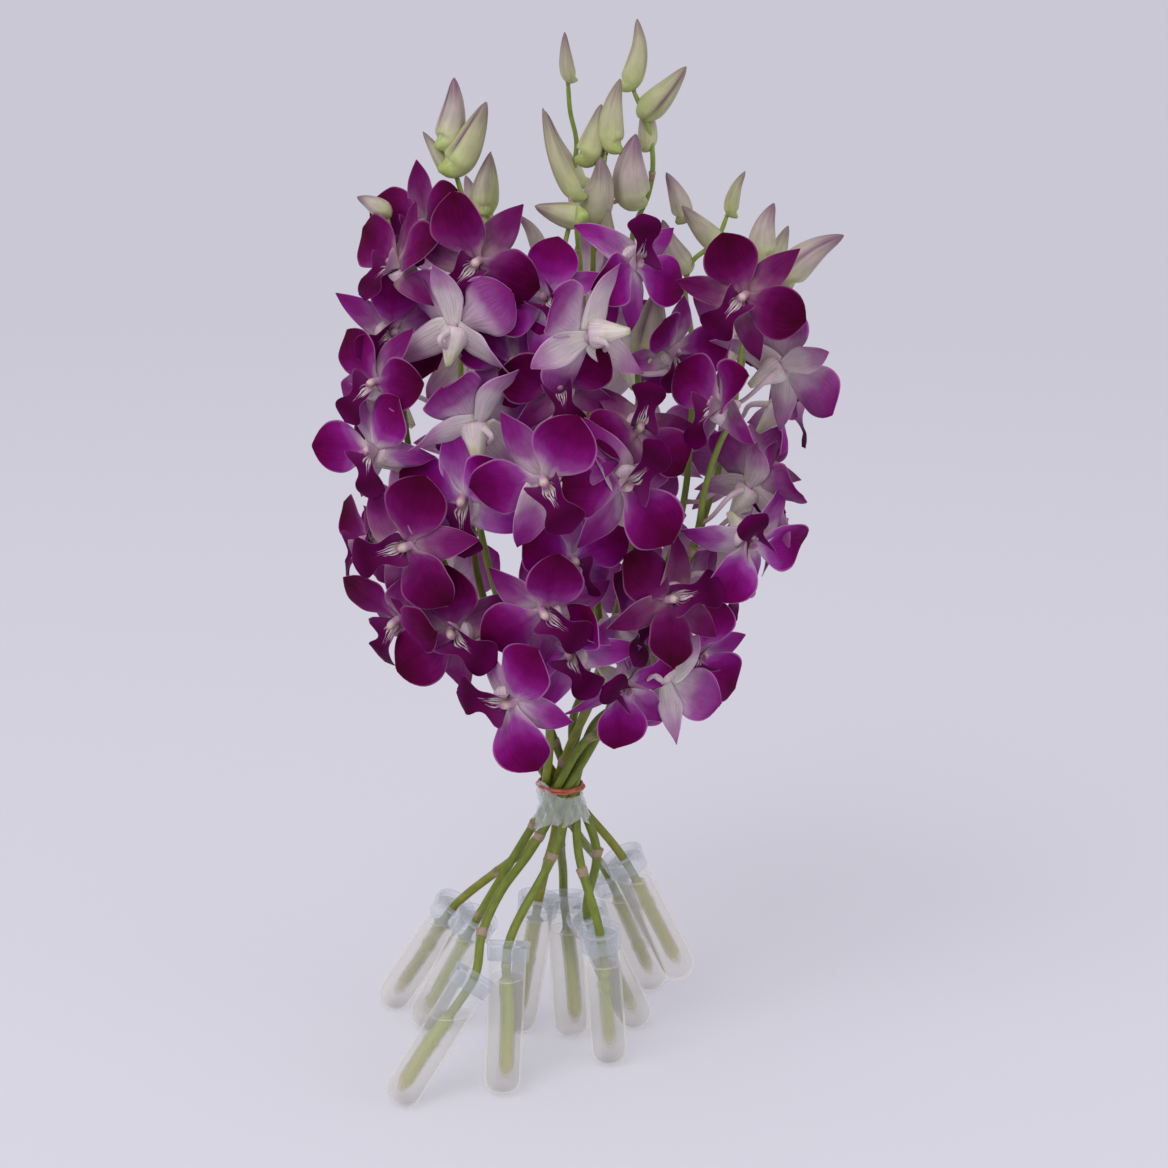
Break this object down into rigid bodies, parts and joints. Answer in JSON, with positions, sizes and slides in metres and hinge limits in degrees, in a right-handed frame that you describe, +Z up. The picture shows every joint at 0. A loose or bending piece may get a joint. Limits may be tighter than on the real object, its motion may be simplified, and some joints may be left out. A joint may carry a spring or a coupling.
{
  "type": "dendrobium orchid bunch in water tubes",
  "caption": "Upright tied bunch of purple and white dendrobium orchid sprays, each cut stem in its own capped, clear water tube.",
  "frame": {"origin": "middle of the bunch's box at the height of the floor that its tubes stand on", "axes": "+Z up along the bunch, -Y towards the picture's camera, +X to its right"},
  "size_m": [0.2466, 0.1966, 0.5111],
  "materials": {
    "tube": "frosted clear plastic",
    "cap": "soft translucent plastic",
    "water": "clear water",
    "orchid": "soft petals on green stems",
    "band": "matt rubber band",
    "film": "thin clear plastic film"
  },
  "bodies": {
    "root": {"tube_01": "tube", "cap_01": "cap", "water_01": "water", "tube_02": "tube", "cap_02": "cap", "water_02": "water", "tube_03": "tube", "cap_03": "cap", "water_03": "water", "tube_04": "tube", "cap_04": "cap", "water_04": "water", "tube_05": "tube", "cap_05": "cap", "water_05": "water", "tube_06": "tube", "cap_06": "cap", "water_06": "water", "tube_07": "tube", "cap_07": "cap", "water_07": "water", "tube_08": "tube", "cap_08": "cap", "water_08": "water", "tube_09": "tube", "cap_09": "cap", "water_09": "water", "tube_10": "tube", "cap_10": "cap", "water_10": "water", "spray_front_left": "orchid", "spray_centre": "orchid", "spray_left": "orchid", "spray_right_front": "orchid", "spray_far_left": "orchid", "spray_middle": "orchid", "spray_right": "orchid", "spray_back_left": "orchid", "spray_back": "orchid", "spray_right_back": "orchid", "rubber_band": "band", "clear_film": "film"}
  },
  "joints": []
}
